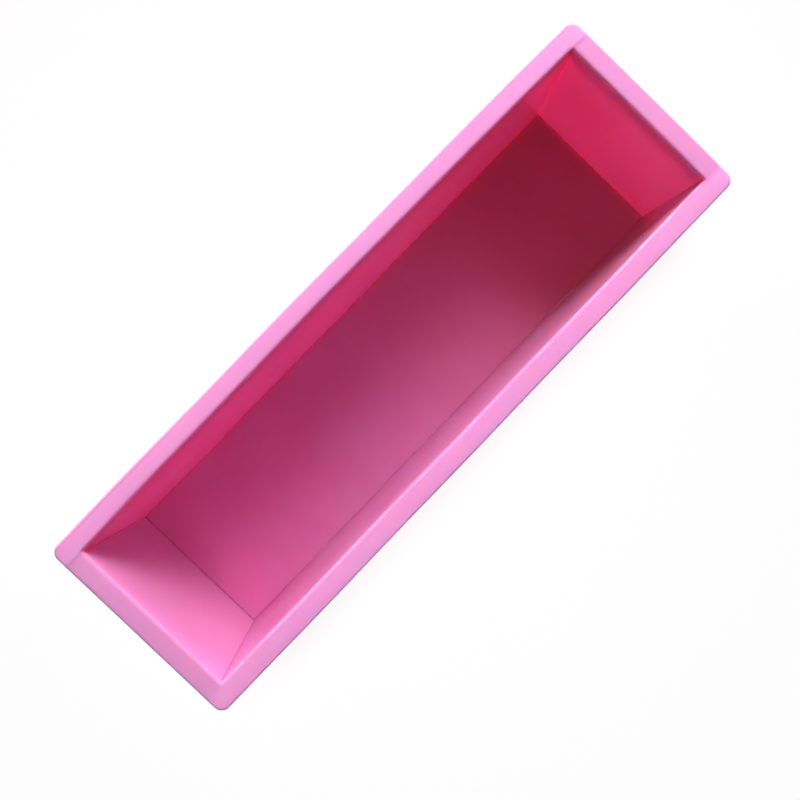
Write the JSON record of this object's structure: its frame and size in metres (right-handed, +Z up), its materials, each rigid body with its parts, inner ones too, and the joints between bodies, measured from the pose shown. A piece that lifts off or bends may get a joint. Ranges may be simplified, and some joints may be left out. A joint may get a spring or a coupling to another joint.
{
  "type": "soap loaf mould",
  "caption": "Open-topped rectangular silicone loaf mould with straight thin walls and a flat rim flange, for casting a long loaf of soap.",
  "frame": {"origin": "centre of the underside, so the mould stands on the plane Z = 0", "axes": "+Z up out of the mouth, +X along the loaf, +Y across it"},
  "size_m": [0.2986, 0.0936, 0.068],
  "materials": {
    "silicone": "translucent pink silicone rubber, smooth satin sheen"
  },
  "bodies": {
    "root": {"mould_body": "silicone"}
  },
  "joints": []
}
